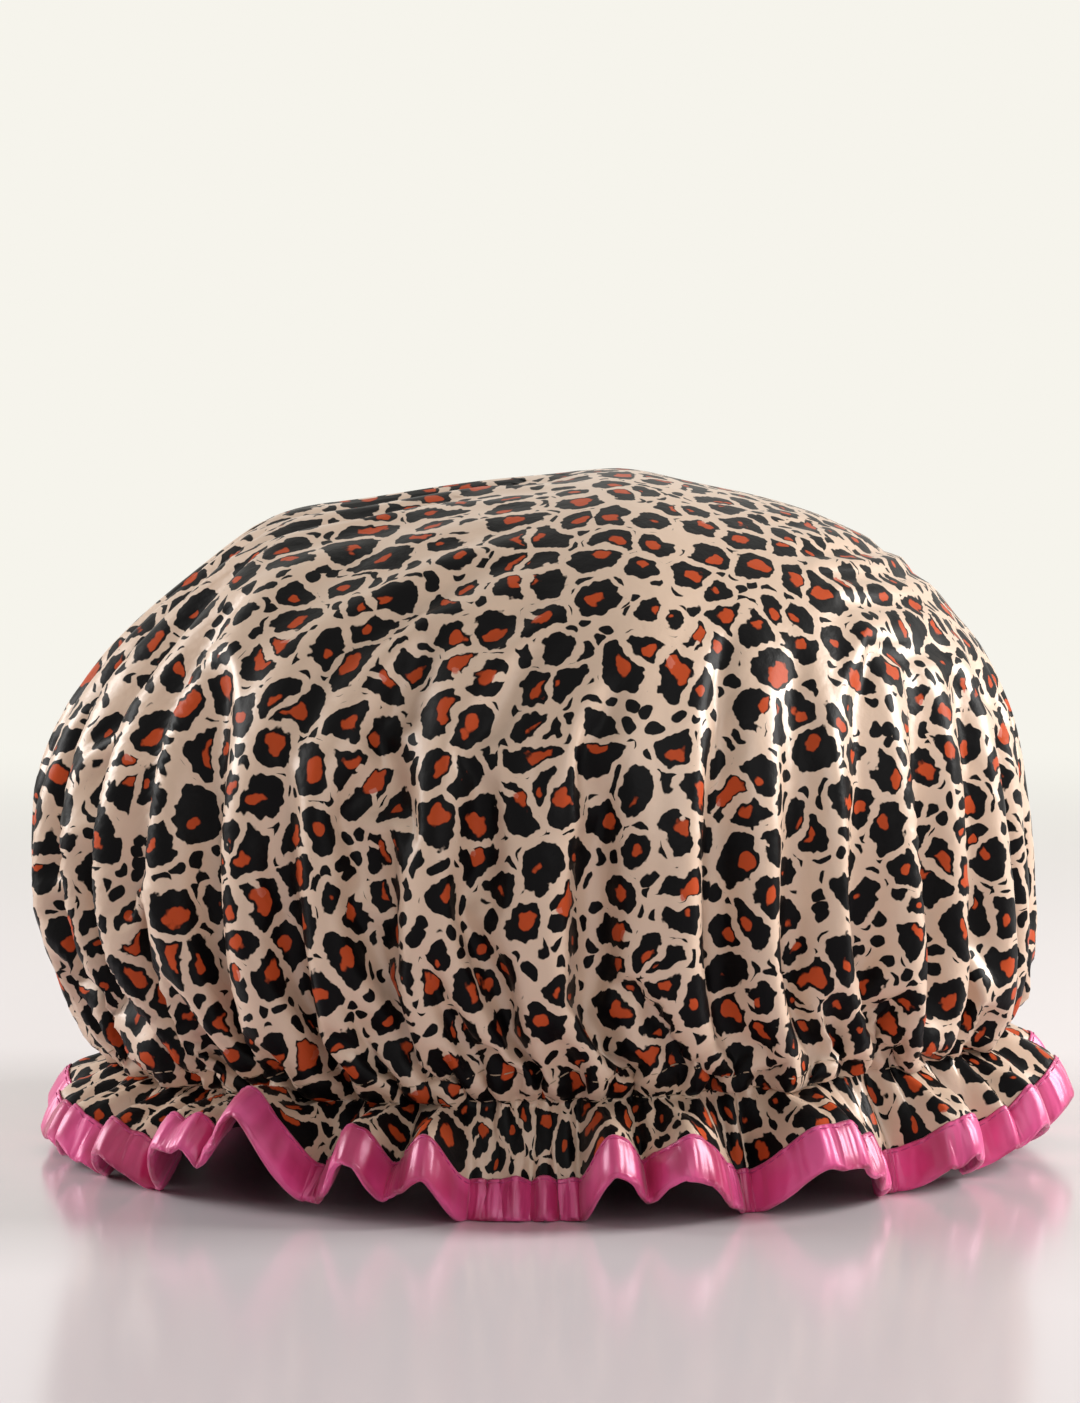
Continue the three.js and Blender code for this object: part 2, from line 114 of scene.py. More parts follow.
# Waves of the frill, each (direction as a share of a turn from the front, height of the hem as a
# share of the gather height, 1 for a crest and 0 for a hollow).
waves = np.array([
    (-0.495, 0.52, 1), (-0.473, 0, 0), (-0.452, 0.42, 1), (-0.431, 0.1, 0), (-0.408, 0.62, 1),
    (-0.383, 0, 0), (-0.36, 0.56, 1), (-0.335, 0, 0), (-0.312, 0.4, 1), (-0.29, 0.08, 0),
    (-0.266, 0.25, 1), (-0.244, 0.05, 0), (-0.221, 0.2, 1), (-0.203, 0.05, 0), (-0.188, 0.24, 1),
    (-0.172, 0.03, 0), (-0.156, 0.3, 1), (-0.139, 0, 0), (-0.12, 0.55, 1), (-0.106, 0.45, 0.6),
    (-0.091, 0.94, 1), (-0.074, 0.14, 0), (-0.056, 0.57, 1), (-0.05, 0.22, 0), (-0.038, 0.42, 0.9),
    (-0.027, 0, 0), (0.006, 0, 0), (0.015, 0.5, 1), (0.025, 0.25, 0), (0.035, 0.44, 1),
    (0.062, 0, 0), (0.079, 0.48, 1), (0.121, 0, 0), (0.14, 0.34, 1), (0.16, 0.07, 0),
    (0.183, 0.45, 1), (0.207, 0.12, 0), (0.236, 0.52, 1), (0.263, 0.15, 0), (0.286, 0.6, 1),
    (0.308, 0.1, 0), (0.331, 0.6, 1), (0.353, 0.16, 0), (0.375, 0.52, 1), (0.405, 0, 0),
    (0.435, 0.5, 1), (0.47, 0.12, 0),
])

# Main valleys of the crown, each (direction as a share of a turn from the front, share of the fold
# depth, half-width as a share of a turn, reach in thirds of the crown's rise). The cloth swells out
# a little between them.
valleys = [
    (-0.488, 0.6, 0.013, 0.65), (-0.458, 1, 0.011, 0.65), (-0.428, 0.95, 0.009, 0.5),
    (-0.392, 1, 0.014, 0.6), (-0.361, 0.75, 0.008, 0.65), (-0.333, 1, 0.009, 0.6),
    (-0.305, 0.85, 0.009, 0.6), (-0.278, 1, 0.01, 0.6), (-0.248, 0.7, 0.013, 0.5),
    (-0.22, 0.95, 0.009, 0.65), (-0.191, 0.65, 0.012, 0.6), (-0.164, 0.85, 0.01, 0.65),
    (-0.135, 0.8, 0.008, 0.5), (-0.105, 0.85, 0.012, 0.7), (-0.076, 0.8, 0.009, 0.45),
    (-0.047, 1, 0.011, 0.75), (-0.014, 0.65, 0.012, 0.6), (0.022, 0.9, 0.01, 0.5),
    (0.058, 0.65, 0.009, 0.65), (0.084, 0.65, 0.009, 0.6), (0.11, 0.8, 0.01, 0.65),
    (0.142, 0.9, 0.012, 0.8), (0.17, 0.75, 0.009, 0.8), (0.198, 0.8, 0.009, 0.7),
    (0.226, 0.55, 0.012, 0.65), (0.258, 0.85, 0.01, 0.6), (0.289, 0.85, 0.013, 0.6),
    (0.321, 0.75, 0.009, 0.65), (0.354, 1, 0.011, 0.6), (0.388, 0.7, 0.01, 0.65),
    (0.417, 1, 0.011, 0.6), (0.447, 0.7, 0.01, 0.65), (0.478, 0.9, 0.012, 0.65),
]


def ease(t):
    """A smooth step from 0 to 1: 3 t squared less 2 t cubed."""
    t = np.clip(t, 0, 1)
    return t * t * (3 - 2 * t)


def wave_at(heading):
    """Hem height, crest share and side swing at a heading. Between two marks of the wave table the
    values follow the smooth step, held level for a while next to a hollow, and the swing is half a
    sine of the way between them."""
    place = (np.asarray(heading) / turn - waves[0, 0]) % 1 + waves[0, 0]
    marks = np.vstack([waves, [waves[0, 0] + 1, *waves[0, 1:]]])
    mark = np.clip(np.searchsorted(marks[:, 0], place, side="right") - 1, 0, len(waves) - 1)
    start, end = marks[mark], marks[mark + 1]
    width = end[:, 0] - start[:, 0]
    along = (place - start[:, 0]) / width
    leave, arrive = hollow_rest * (start[:, 2] == 0), hollow_rest * (end[:, 2] == 0)
    climb = ease((along - leave) / (1 - leave - arrive))
    height = (start[:, 1] + (end[:, 1] - start[:, 1]) * climb) * gather_height
    crest = start[:, 2] + (end[:, 2] - start[:, 2]) * ease(along)
    swing = (start[:, 2] - end[:, 2]) * np.sin(np.pi * along) * width * turn * lobe
    return height, crest, swing


ripple_random = np.random.default_rng(11)


def ripple_table(low, high, count):
    """Frequencies, phases and sizes of a band of ripples round the cap. The sizes are scaled so
    that the sum of the ripples has a root mean square of 1."""
    number = ripple_random.integers(low, high, count)
    phase = ripple_random.uniform(0, turn, count)
    size = ripple_random.uniform(0.5, 1, count)
    return number, phase, size / np.sqrt((size ** 2).sum() / 2)


def ripples(heading, table):
    """The sum of a band of sines round the cap, between about -1 and 1."""
    number, phase, size = table
    total = np.zeros_like(heading)
    for n, p, s in zip(number, phase, size):
        total += s * np.sin(n * heading + p)
    return total / 2


middle_band = ripple_table(44, 78, 12)
wide_band = ripple_table(16, 30, 8)

# Creases, each (number round the cap, drift, slant, height). The slant is per metre of rise on the
# crown, and per length of the frill on the frill.
crown_creases = [(43, 2.6, 22, 0.0013), (77, -2.0, -30, 0.0006)]
frill_creases = [(53, 3.0, 2.4, 0.0010), (91, 2.0, -3.2, 0.0008)]


def valley_depth(heading, rise):
    """How far the main valleys draw the crown in, less the swell between them: a bell across each,
    and along it a rise and a fade, x times e to the power 1 - x, from the top of the elastic's
    channel."""
    start = fold_scale * np.maximum(0, rise - channel_top) / crown_rise
    total = -swell_height * start / swell_reach * np.exp(1 - start / swell_reach)
    for place, depth, width, reach in valleys:
        off = heading - place * turn
        off = (off - turn * np.round(off / turn)) / (width * turn)
        along = start / reach
        total = total + fold_depth * depth * np.exp(-off * off) * along * np.exp(1 - along)
    return total


def neck_level(x):
    """Height of the tilted gather plane at a place from side to side."""
    return gather_height + neck_tilt * (x - neck_shift) / neck_radius


def puffs(heading):
    """Small puffs of cloth at the elastic, about 5 mm apart: the size of a sine, sharp at its feet.
    Their spacing drifts and their size varies round the cap."""
    drift = puff_drift * ripples(heading, wide_band)
    size = 1 + puff_variety * ripples(heading, middle_band)
    return size * (np.abs(np.sin(puff_count * heading + drift)) - puff_middle)


def gathers(heading, rise):
    """Outward ripple of the gathers: fine at the elastic, wider further from it, gone in the full
    part of the crown."""
    fine = puff_height * puffs(heading) * np.exp(-np.abs(rise) / puff_fade)
    middle = gather_ripple * ripples(heading, middle_band)
    return fine + middle * np.exp(-np.abs(rise - gather_place) / gather_fade)


def zigzags(heading, along, creases):
    """The sum of a band of waves with straight flanks, each the inverse sine of a sine. They drift
    round the cap and slant along the cloth."""
    drift = ripples(heading, wide_band)
    total = 0
    for number, drifting, slant, height in creases:
        phase = number * heading + drifting * drift + slant * along
        total = total + height * (np.arcsin(np.sin(phase)) * 2 / np.pi)
    return total


def crown_crease(heading, rise):
    """Long soft creases between the main valleys, strongest between the gathers and the fullest
    level: two zigzags that grow and fade by the smooth step."""
    grown = ease((rise - crease_start) / crease_growth) * ease((crease_end - rise) / crease_fade)
    return zigzags(heading, rise, crown_creases) * grown


def crown_point(heading, level, inset, folded):
    """A point of the crown: level 0 is the apex, 1 the fullest line and 2 the gather line. Above
    the fullest line the outline is a superellipse that leans to the apex, and below it a power
    curve draws in to the neck. Pleats, valleys, gathers, creases and the two soft ridges lie on
    that."""
    angle = np.clip(1 - level, 0, 1) * np.pi / 2
    across = np.maximum(0, np.cos(angle)) ** (2 / square)
    up = np.sin(angle) ** (2 / square)
    way = np.clip(level - 1, 0, 1)
    sine, cosine = np.sin(heading), np.cos(heading)
    right = np.maximum(0, sine) ** 2
    drawn = way ** (tuck_left + (tuck_right - tuck_left) * right)
    upper = level < 1
    rise = np.where(upper, fullest_rise + top_rise * up, (1 - way) * fullest_rise)
    _, crest, _ = wave_at(heading)
    out = -inset * np.ones_like(heading)
    if folded:
        pleat = pleat_depth * crest * np.exp(-rise / pleat_rise) * ~upper
        fold = valley_depth(heading, rise) * np.where(upper, across, 1)
        out = out + pleat - fold + gathers(heading, rise) + crown_crease(heading, rise)
    half_x, half_y = crown_width / 2, crown_depth / 2
    radius_x = np.where(upper, half_x * across, half_x + (neck_radius - half_x) * drawn)
    radius_y = np.where(upper, half_y * across, half_y + (neck_radius - half_y) * drawn)
    reach = np.where(upper, across, 1)
    x = (radius_x + out * reach) * sine + np.where(upper, apex_lean * up * up, neck_shift * drawn)
    y = -(radius_y + out * reach) * cosine
    neck = neck_level(neck_shift + neck_radius * sine)
    z = np.where(
        upper,
        fullest_height + (top_rise - inset / 2) * up,
        neck + (fullest_height - neck) * (1 - way),
    )
    if folded:
        shoulder = shoulder_height * np.exp(-((x - shoulder_place) / shoulder_half_width) ** 2)
        apex = apex_height * np.exp(-((x - apex_place) / apex_half_width) ** 2)
        front = ease((crown_depth / 2 - y) / (crown_depth / 2))
        ridge = (shoulder + apex) * front * ease((rise - fullest_rise) / (top_rise / 2))
        x = x + ridge * across * sine
        y = y - ridge * across * cosine
        z = z + ridge * up
    return np.stack([x, y, z], axis=-1)


# Along the cloth the print keeps its scale, so the mean meridian is measured once and the cut
# radius is turned into a level of the crown by it.
meridian_levels = np.linspace(0, 2, 801)
meridian_angle = np.clip(1 - meridian_levels, 0, 1) * np.pi / 2
meridian_radius = np.where(
    meridian_levels < 1,
    mean_radius * np.cos(meridian_angle) ** (2 / square),
    mean_radius + (neck_radius - mean_radius) * np.clip(meridian_levels - 1, 0, 1) ** tuck_mean,
)
meridian_height = np.where(
    meridian_levels < 1,
    fullest_rise + top_rise * np.sin(meridian_angle) ** (2 / square),
    (2 - meridian_levels) * fullest_rise,
)
meridian_step = np.hypot(np.diff(meridian_radius), np.diff(meridian_height))
meridian_arc = np.concatenate([[0], np.cumsum(meridian_step)])
meridian_flat = meridian_arc / meridian_arc[-1] * gather_flat


def frill_point(heading, flat):
    """A point of the frill: the cloth leaves the gather line at a slant and curls down over its
    lower part. The curled arc is summed in short steps, and the slant is solved so that the hem
    ends at its height. The flanks of a wave swing out sideways. Gathers and creases stand off it:
    level at the gather line, and square to the slant further down."""
    height, crest, swing = wave_at(heading)
    share = np.clip((flat - gather_flat) / frill_length, 0, 1)
    curl = -(curl_low + (curl_high - curl_low) * crest) * np.pi / 2
    grid = (np.arange(curl_steps) + 0.5) / curl_steps
    bend = ease((grid - curl_start) / curl_growth)
    forward = np.cos(curl[:, None] * bend) / curl_steps
    sideward = np.sin(curl[:, None] * bend) / curl_steps
    whole_c, whole_s = forward.sum(1), sideward.sum(1)
    covered = np.clip(share[:, None] * curl_steps - np.arange(curl_steps), 0, 1)
    part_c, part_s = (forward * covered).sum(1), (sideward * covered).sum(1)
    pleat = pleat_depth * crest
    top_x = neck_shift + (neck_radius + pleat) * np.sin(heading)
    top_y = -(neck_radius + pleat) * np.cos(heading)
    top_z = neck_level(top_x) - layer_gap / 2
    drop = (top_z - height) / (frill_length * np.hypot(whole_c, whole_s))
    slant = np.arccos(np.clip(drop, -1, 1)) - np.arctan2(whole_s, whole_c)
    out = frill_length * (np.sin(slant) * part_c + np.cos(slant) * part_s)
    down = frill_length * (np.cos(slant) * part_c - np.sin(slant) * part_s)
    side = swing * neck_radius * share
    crumple = zigzags(heading, share, frill_creases) * ease(share / frill_crease_growth)
    rise = gathers(heading, 0.0) * np.exp(-share / frill_gather_fade) + crumple
    lean = slant * ease(share / lean_growth)
    out = out + rise * np.cos(lean)
    down = down - rise * np.sin(lean)
    x = top_x + out * np.sin(heading) + side * np.cos(heading)
    y = top_y - out * np.cos(heading) + side * np.sin(heading)
    return np.stack([x, y, top_z - down], axis=-1)


def frill_outward(heading, flat):
    """The frill's point and the direction square to the cloth there, outwards: the cross product of
    a short step down the cloth and one round the cap."""
    step = 1e-4
    sideways = frill_point(heading + step, flat) - frill_point(heading - step, flat)
    lower = frill_point(heading, np.minimum(flat + step, hem_flat))
    outward = np.cross(lower - frill_point(heading, flat - step), sideways)
    length = np.maximum(np.linalg.norm(outward, axis=1), 1e-12)
    return frill_point(heading, flat), outward / length[:, None]


def on_table(points, low):
    """The lowest waves are pressed flat on the table: what would reach below a height is bent level
    there, by the mean of the height and the root of its square plus a small square."""
    above = points[:, 2] - low
    points[:, 2] = low + (above + np.sqrt(above ** 2 + press_round ** 2)) / 2
    return points


def satin_point(heading, flat):
    """A point of the whole satin disc at a heading and a cut radius. The air that keeps the cloth
    full pushes it out a little, so it starts as much inside its outline."""
    level = np.interp(flat, meridian_flat, meridian_levels)
    drawn_in = air_room * ease((level - air_start) / air_growth) * ease((2 - level) / air_fade)
    crown = crown_point(heading, level, drawn_in, True)
    frill = on_table(frill_point(heading, flat), satin_low)
    return np.where((flat <= gather_flat)[:, None], crown, frill)


def disc_grid(rings, gather_ring):
    """Headings and cut radii of a square grid that is pulled into a disc: each square of the grid
    becomes a circle, so no point of the cloth is a pole. The rings above and below the gather line
    are spaced evenly. Also gives the grid's faces."""
    size = 2 * rings + 1
    j, i = np.meshgrid(np.arange(size) - rings, np.arange(size) - rings)
    ring = np.maximum(np.abs(i), np.abs(j)).astype(float)
    safe = np.maximum(ring, 1)
    quarter = np.pi / 4
    heading = np.where(
        np.abs(i) >= np.abs(j),
        quarter * j / safe * np.sign(i) + np.where(i < 0, np.pi, 0),
        np.pi / 2 * np.sign(j) - quarter * i / safe * np.sign(j),
    )
    flat = np.interp(ring, [0, gather_ring, rings], [0, gather_flat, edge_flat])
    index = np.arange(size * size).reshape(size, size)
    a, b = index[:-1, :-1].ravel(), index[1:, :-1].ravel()
    c, d = index[1:, 1:].ravel(), index[:-1, 1:].ravel()
    return heading.ravel(), flat.ravel(), np.stack([a, b, c, d], axis=1)


# The formulas start from the middle of the crown, and the frame from under the middle of the cap.
to_frame = np.array([-0.005245, -0.000415, 0])


def mesh_of(name, points, faces, uv=None):
    """A mesh object from an array of points and an array of faces, with a smooth surface and, where
    given, a map of two numbers for each point."""
    mesh = bpy.data.meshes.new(name)
    mesh.from_pydata((points + to_frame).tolist(), [], faces.tolist())
    if uv is not None:
        layer = mesh.uv_layers.new(name="cloth")
        loops = np.zeros(len(mesh.loops), np.int32)
        mesh.loops.foreach_get("vertex_index", loops)
        layer.data.foreach_set("uv", uv[loops].astype(np.float32).ravel())
    mesh.polygons.foreach_set("use_smooth", np.ones(len(mesh.polygons), bool))
    mesh.update()
    piece = bpy.data.objects.new(name, mesh)
    bpy.context.scene.collection.objects.link(piece)
    return piece


def thicken(piece, thickness, side):
    """Gives a cloth its thickness, outwards for side 1 and inwards for side -1."""
    layer = piece.modifiers.new("thickness", "SOLIDIFY")
    layer.thickness = thickness
    layer.offset = side


def set_inputs(made, inputs):
    """Sets the inputs of a node, given by name or number: a socket is linked, a value is stored."""
    for key, value in dict(inputs).items():
        if isinstance(value, bpy.types.NodeSocket):
            made.id_data.links.new(value, made.inputs[key])
        else:
            made.inputs[key].default_value = value


def add_node(tree, kind, inputs=(), **settings):
    """A new node in a tree, with its settings and inputs."""
    made = tree.nodes.new(kind)
    for key, value in settings.items():
        setattr(made, key, value)
    set_inputs(made, inputs)
    return made


def material_of(name):
    """A node material, its Principled shader, and a function that adds nodes to it."""
    material = bpy.data.materials.new(name)
    material.use_nodes = True

    def node(kind, inputs=(), **settings):
        return add_node(material.node_tree, kind, inputs, **settings)

    return material, material.node_tree.nodes["Principled BSDF"], node


def noise(node, where, scale, detail, roughness=0.5, dimensions="2D"):
    """The outputs of a noise texture."""
    values = {"Vector": where, "Scale": scale, "Detail": detail, "Roughness": roughness}
    return node("ShaderNodeTexNoise", values, noise_dimensions=dimensions).outputs


def step_between(node, value, low, high):
    """A clear share that runs from 0 to 1 as the value goes from low to high."""
    values = {"Value": value, "From Min": low, "From Max": high}
    return node("ShaderNodeMapRange", values, interpolation_type="SMOOTHSTEP").outputs["Result"]


def mixed(node, share, low, high):
    """A colour between two, by a share."""
    values = {"Factor": share, 6: low, 7: high}
    return node("ShaderNodeMix", values, data_type="RGBA").outputs[2]


def relief(node, shader, height, strength, distance):
    """Gives a finish a fine relief by the height of a pattern."""
    values = {"Height": height, "Strength": strength, "Distance": distance}
    set_inputs(shader, {"Normal": node("ShaderNodeBump", values).outputs[0]})


def colour(red, green, blue):
    """Linear light values of a colour given as 0 to 255 on a screen."""
    def linear(value):
        value = value / 255
        return value / 12.92 if value <= 0.04045 else ((value + 0.055) / 1.055) ** 2.4
    return (linear(red), linear(green), linear(blue), 1)


# The crown is settled as cloth. It begins as wide as it was cut, and its neck is then drawn in on
# the elastic, so the spare width buckles into gathers. A little air keeps it full, and a soft hold
# keeps it near its outline. The frill and the neck are held firm.
settle_scale = 10  # cloth this small settles better when it is worked out larger
settle_frames, draw_frames = 30, 18
settle_hold_low, settle_hold_top = 0.45, 0.7
settle_cap = 0.009
settle_settings = {
    "quality": 7,
    "mass": 0.25,
    "tension_stiffness": 30,
    "compression_stiffness": 30,
    "shear_stiffness": 6,
    "bending_stiffness": 9,
    "air_damping": 3,
    "use_pressure": True,
    "uniform_pressure_force": 0.15,
    "vertex_group_mass": "held",
}
spare_low, spare_top = 0.8, 0.1  # how much of the cut's spare width is there to be gathered
spare_start, spare_growth = 0.05, 0.13
hold_start, hold_ease = 0.06, 0.09


def meridian_length(heading):
    """Length of the smooth crown from the apex to the gather line at each heading, summed along
    short steps."""
    level = np.linspace(0, 2, 161)
    spread = np.repeat(heading, len(level))
    line = crown_point(spread, np.tile(level, len(heading)), 0, False)
    steps = np.diff(line.reshape(len(heading), len(level), 3), axis=1)
    return np.linalg.norm(steps, axis=2).sum(axis=1)


def cut_shape(heading, flat, apex):
    """A bell with the crown's own length at each heading. Its radius is moved from the gathered one
    towards the cut radius by a share that grows to the neck, and it falls by the root of length
    squared less width squared."""
    spare = spare_top + (spare_low - spare_top) * ease((meridian_flat - spare_start) / spare_growth)
    widths = meridian_radius + spare * (meridian_flat - meridian_radius)
    fall = np.sqrt(np.maximum(np.diff(meridian_flat) ** 2 - np.diff(widths) ** 2, 0))
    falls = np.concatenate([[0], np.cumsum(fall)])
    directions, which = np.unique(np.round(heading, 6), return_inverse=True)
    own = meridian_length(directions)[which] / gather_flat
    width = own * np.interp(flat, meridian_flat, widths) + np.maximum(flat - gather_flat, 0)
    height = own * np.interp(flat, meridian_flat, falls)
    return apex + np.stack([width * np.sin(heading), -width * np.cos(heading), -height], axis=-1)


def settled(cut, gathered, faces, held):
    """The points after the cloth has settled: cut is the shape it begins with, gathered the shape
    that the held points are drawn to, and held the share of each point's hold."""
    mesh = bpy.data.meshes.new("settling")
    mesh.from_pydata((cut * settle_scale).tolist(), [], faces.tolist())
    piece = bpy.data.objects.new("settling", mesh)
    bpy.context.scene.collection.objects.link(piece)
    piece.shape_key_add(name="cut")
    drawn = piece.shape_key_add(name="gathered")
    drawn.data.foreach_set("co", (gathered * settle_scale).ravel())
    for step, value in ((1, 0.0), (draw_frames, 1.0)):
        drawn.value = value
        drawn.keyframe_insert("value", frame=step)
    group = piece.vertex_groups.new(name="held")
    for level in np.unique(held):
        group.add(np.flatnonzero(held == level).tolist(), float(level), "REPLACE")
    cloth = piece.modifiers.new("cloth", "CLOTH")
    for key, value in settle_settings.items():
        setattr(cloth.settings, key, value)
    cloth.settings.effector_weights.gravity = 0
    scene = bpy.context.scene
    scene.frame_start, scene.frame_end = 1, settle_frames
    cloth.point_cache.frame_start, cloth.point_cache.frame_end = 1, settle_frames
    for step in range(1, settle_frames + 1):
        scene.frame_set(step)
    result = piece.evaluated_get(bpy.context.evaluated_depsgraph_get()).to_mesh()
    points = np.zeros(len(cut) * 3)
    result.vertices.foreach_get("co", points)
    bpy.data.objects.remove(piece)
    scene.frame_set(1)
    return points.reshape(-1, 3) / settle_scale


def between(values, size):
    """Values on a square grid of points, with one more put between each two by a cubic through the
    four nearest."""
    grid = values.reshape(size, size, -1)
    for axis in (0, 1):
        grid = np.moveaxis(grid, axis, 0)
        wide = np.concatenate([grid[:1], grid, grid[-1:]])
        middle = (9 * (wide[1:-2] + wide[2:-1]) - wide[:-3] - wide[3:]) / 16
        fine = np.zeros((2 * len(grid) - 1, *grid.shape[1:]))
        fine[::2], fine[1::2] = grid, middle
        grid = np.moveaxis(fine, 0, axis)
    return grid.reshape(-1, values.shape[-1])


coarse_rings, coarse_gather = 54, 45
heading_grid, flat_grid, disc_faces = disc_grid(2 * coarse_rings, 2 * coarse_gather)
satin_points = satin_point(heading_grid, flat_grid)
heading_coarse, flat_coarse, faces_coarse = disc_grid(coarse_rings, coarse_gather)
gathered = satin_point(heading_coarse, flat_coarse)
loose = ease((flat_coarse - hold_start) / hold_ease)
held = np.round(settle_hold_top + (settle_hold_low - settle_hold_top) * loose, 2)
held[flat_coarse >= gather_flat - 1e-6] = 1
cut = cut_shape(heading_coarse, flat_coarse, gathered[np.argmin(flat_coarse)])
moved = settled(cut, gathered, faces_coarse, held) - gathered
length = np.linalg.norm(moved, axis=1, keepdims=True)
moved *= settle_cap * np.tanh(length / settle_cap) / np.maximum(length, 1e-9)
satin_points = satin_points + between(moved, 2 * coarse_rings + 1)
disc_uv = np.stack([flat_grid * np.sin(heading_grid), -flat_grid * np.cos(heading_grid)], axis=-1)
satin_disc = mesh_of("satin_disc", satin_points, disc_faces, disc_uv)

# Print. A common leopard print in cells of a random pattern on the flat cloth. All the sizes are
# shares of a cell; "least" and "range" are the smallest value and what chance can add to it, "rag"
# is how far a noise bends an outline, and "edge" is where a colour begins and is full.
cell = 0.0112
ground, ink, rust = colour(220, 191, 167), colour(10, 9, 11), colour(192, 78, 40)
warp_scale, warp = 0.9, 0.6
rag_scale = 4.2
spot_least, spot_range, spot_round, spot_growth, spot_rag = 0.33, 0.36, 0.20, 0.015, 0.22
gap_least, gap_range = 0.068, 0.06
notch_start, notch_half_width, notch_rag, notch_chance = 0.10, 0.075, 0.20, 0.82
filler_scale, filler_chance, filler_size, filler_round, filler_rag = 2.3, 0.8, 0.40, 0.16, 0.24
filler_fall, filler_room = -2.3, -0.24
centre_shift, centre_least, centre_range, centre_rim, centre_rag = 0.09, 0.20, 0.28, 0.15, 0.20
spot_edge, notch_edge, filler_edge, centre_edge = (0, 0.022), (0, 0.02), (0.03, 0.07), (-0.01, 0.03)
pucker_scale, pucker_strength, pucker_height = 190.0, 0.35, 0.0006

satin, satin_shader, satin_node = material_of("leopard_satin")
cloth_map = satin_node("ShaderNodeUVMap", uv_map="cloth").outputs[0]


def vector(operation, *values):
    """One sum on vectors of the print."""
    return satin_node("ShaderNodeVectorMath", dict(enumerate(values)), operation=operation).outputs


def times(where, factor):
    """A vector of the print times a number."""
    return satin_node("ShaderNodeVectorMath", {0: where, 3: factor}, operation="SCALE").outputs[0]


def maths(operation, *values):
    """One sum on numbers of the print."""
    return satin_node("ShaderNodeMath", dict(enumerate(values)), operation=operation).outputs[0]


def voronoi(feature, where, scale=1.0, chance=1.0):
    """The outputs of a pattern of random cells."""
    values = {"Vector": where, "Scale": scale, "Randomness": chance}
    return satin_node("ShaderNodeTexVoronoi", values, voronoi_dimensions="2D",
                      feature=feature).outputs


scaled = times(cloth_map, 1 / cell)
bent = noise(satin_node, scaled, warp_scale, 1.5)["Color"]
place = vector("ADD", scaled, times(vector("SUBTRACT", bent, (0.5, 0.5, 0.5))[0], warp))[0]
cells = voronoi("F1", place)
edges = voronoi("DISTANCE_TO_EDGE", place)["Distance"]
first, second, third = satin_node("ShaderNodeSeparateColor", {0: cells["Color"]}).outputs[:3]
ragged = maths("SUBTRACT", noise(satin_node, scaled, rag_scale, 1.5)["Fac"], 0.5)

# Each spot fills its cell up to a gap with its corners rounded off, and its own chance makes it
# smaller than the cell. Some spots are notched: a short stripe of the ground runs in from one side.
# Where the gap between the spots is wide, small ones from finer cells fill it.
away = vector("SUBTRACT", place, cells["Position"])[0]
size = maths("MULTIPLY_ADD", second, spot_range, spot_least)
round_part = maths("SUBTRACT", size, cells["Distance"])
edge_part = maths("SUBTRACT", edges, maths("MULTIPLY_ADD", third, gap_range, gap_least))
spot = maths("ADD", maths("SMOOTH_MIN", round_part, edge_part, spot_round), spot_growth)
spot = maths("MULTIPLY_ADD", ragged, spot_rag, spot)
spot_share = step_between(satin_node, spot, *spot_edge)
angle = maths("MULTIPLY", maths("ADD", first, second), turn)
sine, cosine = maths("SINE", angle), maths("COSINE", angle)
parts = satin_node("ShaderNodeSeparateXYZ", {0: away}).outputs
along = maths("MULTIPLY_ADD", parts["X"], cosine, maths("MULTIPLY", parts["Y"], sine))
across = maths("MULTIPLY", maths("MULTIPLY", parts["Y"], -1.0), cosine)
across = maths("ABSOLUTE", maths("MULTIPLY_ADD", parts["X"], sine, across))
stripe = maths("MINIMUM", maths("SUBTRACT", along, notch_start),
               maths("SUBTRACT", notch_half_width, across))
notch = maths("MULTIPLY_ADD", ragged, notch_rag, stripe)
notch = step_between(satin_node, notch, *notch_edge)
notched = step_between(satin_node, third, notch_chance, notch_chance + 0.01)
whole = maths("SUBTRACT", 1.0, maths("MULTIPLY", notch, notched))
fine_cells = voronoi("F1", place, filler_scale, filler_chance)["Distance"]
room = maths("MULTIPLY_ADD", spot, filler_fall, filler_room)
filler = maths("SMOOTH_MIN", maths("SUBTRACT", filler_size, fine_cells), room, filler_round)
filler = maths("MULTIPLY_ADD", ragged, filler_rag, filler)
filler_share = step_between(satin_node, filler, *filler_edge)
black_share = maths("MAXIMUM", maths("MULTIPLY", spot_share, whole), filler_share)

# The rust centre sits off the middle by chance, and small spots have next to none.
offset = satin_node("ShaderNodeCombineXYZ", {
    "X": maths("MULTIPLY_ADD", first, 2 * centre_shift, -centre_shift),
    "Y": maths("MULTIPLY_ADD", third, 2 * centre_shift, -centre_shift),
}).outputs[0]
centre_distance = vector("LENGTH", vector("SUBTRACT", away, offset)[0])["Value"]
centre_size = maths("MULTIPLY", size, maths("MULTIPLY_ADD", first, centre_range, centre_least))
centre = maths("MINIMUM", maths("SUBTRACT", centre_size, centre_distance),
               maths("SUBTRACT", edges, centre_rim))
centre = maths("MULTIPLY_ADD", ragged, centre_rag, centre)
rust_share = maths("MULTIPLY", step_between(satin_node, centre, *centre_edge), spot_share)

